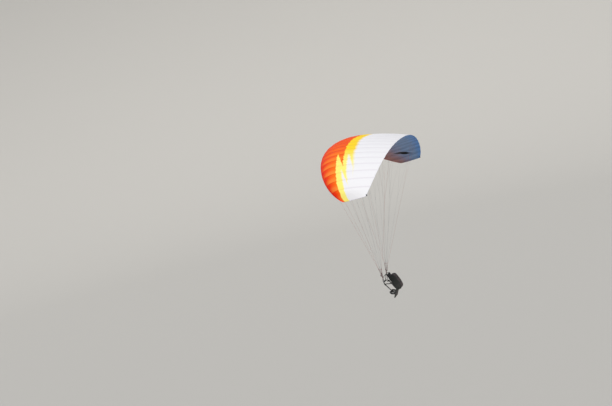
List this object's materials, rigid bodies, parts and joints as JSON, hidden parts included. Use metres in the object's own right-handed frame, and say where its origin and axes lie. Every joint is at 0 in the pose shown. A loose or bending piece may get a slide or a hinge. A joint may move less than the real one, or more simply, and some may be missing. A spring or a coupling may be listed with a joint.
{
  "type": "speed wing",
  "caption": "Small ram-air paraglider canopy in flight, with line cascades, risers, brake toggles and a worn harness; brakes pull the trailing edge down.",
  "frame": {"origin": "centre section's chord line at 30 % of the chord, near where the air carries the wing", "axes": "+X to the wearer's left along the span, +Y aft along the chord, +Z the wing's up; flight is towards -Y"},
  "size_m": [6.4836, 2.3, 5.1034],
  "materials": {
    "canopy_top": "coated ripstop nylon, satin",
    "canopy_under": "coated ripstop nylon, satin",
    "canopy_flap": "coated ripstop nylon, satin",
    "line_red": "braided cord, matte",
    "line_grey": "braided cord, matte",
    "riser_webbing": "woven polyester webbing, matte",
    "toggle_webbing": "woven webbing with a soft grip, matte",
    "harness_webbing": "woven polyester webbing, matte",
    "harness_cloth": "coated pack cloth, matte",
    "harness_padding": "spacer mesh over foam, matte",
    "alloy": "satin, anodised"
  },
  "bodies": {
    "wing": {"centre_upper_skin": "canopy_top", "centre_lower_skin_and_ribs": "canopy_under", "left_inner_upper_skin": "canopy_top", "left_inner_lower_skin_and_ribs": "canopy_under", "left_mid_upper_skin": "canopy_top", "left_mid_lower_skin_and_ribs": "canopy_under", "left_outer_upper_skin": "canopy_top", "left_outer_lower_skin_and_ribs": "canopy_under", "left_tip_upper_skin": "canopy_top", "left_tip_lower_skin_and_ribs": "canopy_under", "right_inner_upper_skin": "canopy_top", "right_inner_lower_skin_and_ribs": "canopy_under", "right_mid_upper_skin": "canopy_top", "right_mid_lower_skin_and_ribs": "canopy_under", "right_outer_upper_skin": "canopy_top", "right_outer_lower_skin_and_ribs": "canopy_under", "right_tip_upper_skin": "canopy_top", "right_tip_lower_skin_and_ribs": "canopy_under", "left_a_lines": "line_red", "left_b_lines": "line_grey", "left_c_lines": "line_grey", "left_riser": "riser_webbing", "left_carabiner": "alloy", "right_a_lines": "line_red", "right_b_lines": "line_grey", "right_c_lines": "line_grey", "right_riser": "riser_webbing", "right_carabiner": "alloy"},
    "harness": {"harness_left_webbing": "harness_webbing", "harness_left_leg_loop": "harness_webbing", "harness_left_leg_buckle": "alloy", "harness_right_webbing": "harness_webbing", "harness_right_leg_loop": "harness_webbing", "harness_right_leg_buckle": "alloy", "harness_back_pad": "harness_padding", "harness_container": "harness_cloth", "harness_seat_board": "harness_cloth", "harness_chest_strap": "harness_webbing", "harness_chest_buckle": "alloy"},
    "left_brake": {"left_brake_lines": "line_red", "left_brake_toggle": "toggle_webbing"},
    "right_brake": {"right_brake_lines": "line_red", "right_brake_toggle": "toggle_webbing"},
    "left_flap": {"left_brake_flap": "canopy_flap"},
    "right_flap": {"right_brake_flap": "canopy_flap"}
  },
  "joints": [
    {"name": "harness_swing", "type": "hinge", "parent": "wing", "child": "harness", "pos_m": [0, 0.134, -4.302], "axis": [1, 0, 0], "range_deg": [-55, 30]},
    {"name": "left_brake_pull", "type": "slide", "parent": "wing", "child": "left_brake", "axis": [-0.3107, -0.3215, -0.8945], "range_m": [0, 0.225]},
    {"name": "left_flap_bend", "type": "hinge", "parent": "wing", "child": "left_flap", "pos_m": [1.0661, 1.1015, 0.0388], "axis": [-0.9562, 0.0235, 0.2919], "range_deg": [0, 28]},
    {"name": "right_brake_pull", "type": "slide", "parent": "wing", "child": "right_brake", "axis": [0.3107, -0.3215, -0.8945], "range_m": [0, 0.225]},
    {"name": "right_flap_bend", "type": "hinge", "parent": "wing", "child": "right_flap", "pos_m": [-1.0661, 1.1015, 0.0388], "axis": [-0.9562, -0.0235, -0.2919], "range_deg": [0, 28]}
  ],
  "couplings": [
    {"joint": "left_flap_bend", "follows": "left_brake_pull", "rad_per_m": 2.15},
    {"joint": "right_flap_bend", "follows": "right_brake_pull", "rad_per_m": 2.15}
  ]
}
